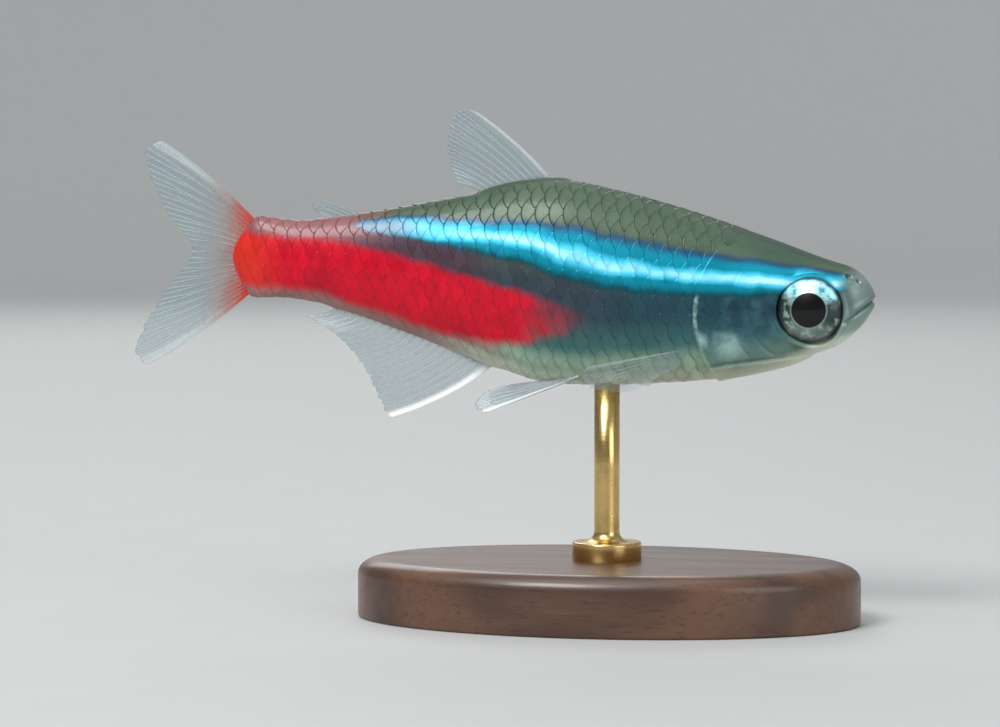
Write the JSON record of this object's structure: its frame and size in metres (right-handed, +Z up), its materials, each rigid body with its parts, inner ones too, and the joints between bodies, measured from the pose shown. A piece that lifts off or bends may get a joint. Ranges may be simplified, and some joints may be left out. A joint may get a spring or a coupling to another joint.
{
  "type": "neon tetra",
  "caption": "Life-size neon tetra as a still museum model: slender fish with a blue-green stripe, a red tail half and spread fins, held level by a thin rod over an oval base",
  "frame": {"origin": "middle of the footprint of the whole model, on the underside of the base", "axes": "+X runs from the tail to the head, +Y to the fish's left, +Z up"},
  "size_m": [0.0326, 0.0132, 0.0221],
  "materials": {
    "silver_skin": "silvery scaled skin",
    "back_skin": "blue-green iridescent skin",
    "red_skin": "red skin",
    "fin": "clear rayed membrane",
    "eye": "wet gloss",
    "wood": "satin varnish",
    "brass": "satin"
  },
  "bodies": {
    "root": {"head": "silver_skin", "torso": "back_skin", "tail_stock": "red_skin", "gill_cover_left": "silver_skin", "gill_cover_right": "silver_skin", "eye_left": "eye", "eye_right": "eye", "dorsal_fin": "fin", "adipose_fin": "fin", "anal_fin": "fin", "tail_fin_upper": "fin", "tail_fin_lower": "fin", "pectoral_fin_left": "fin", "pectoral_fin_right": "fin", "pelvic_fin_left": "fin", "pelvic_fin_right": "fin", "stand_base": "wood", "stand_rod": "brass"}
  },
  "joints": []
}
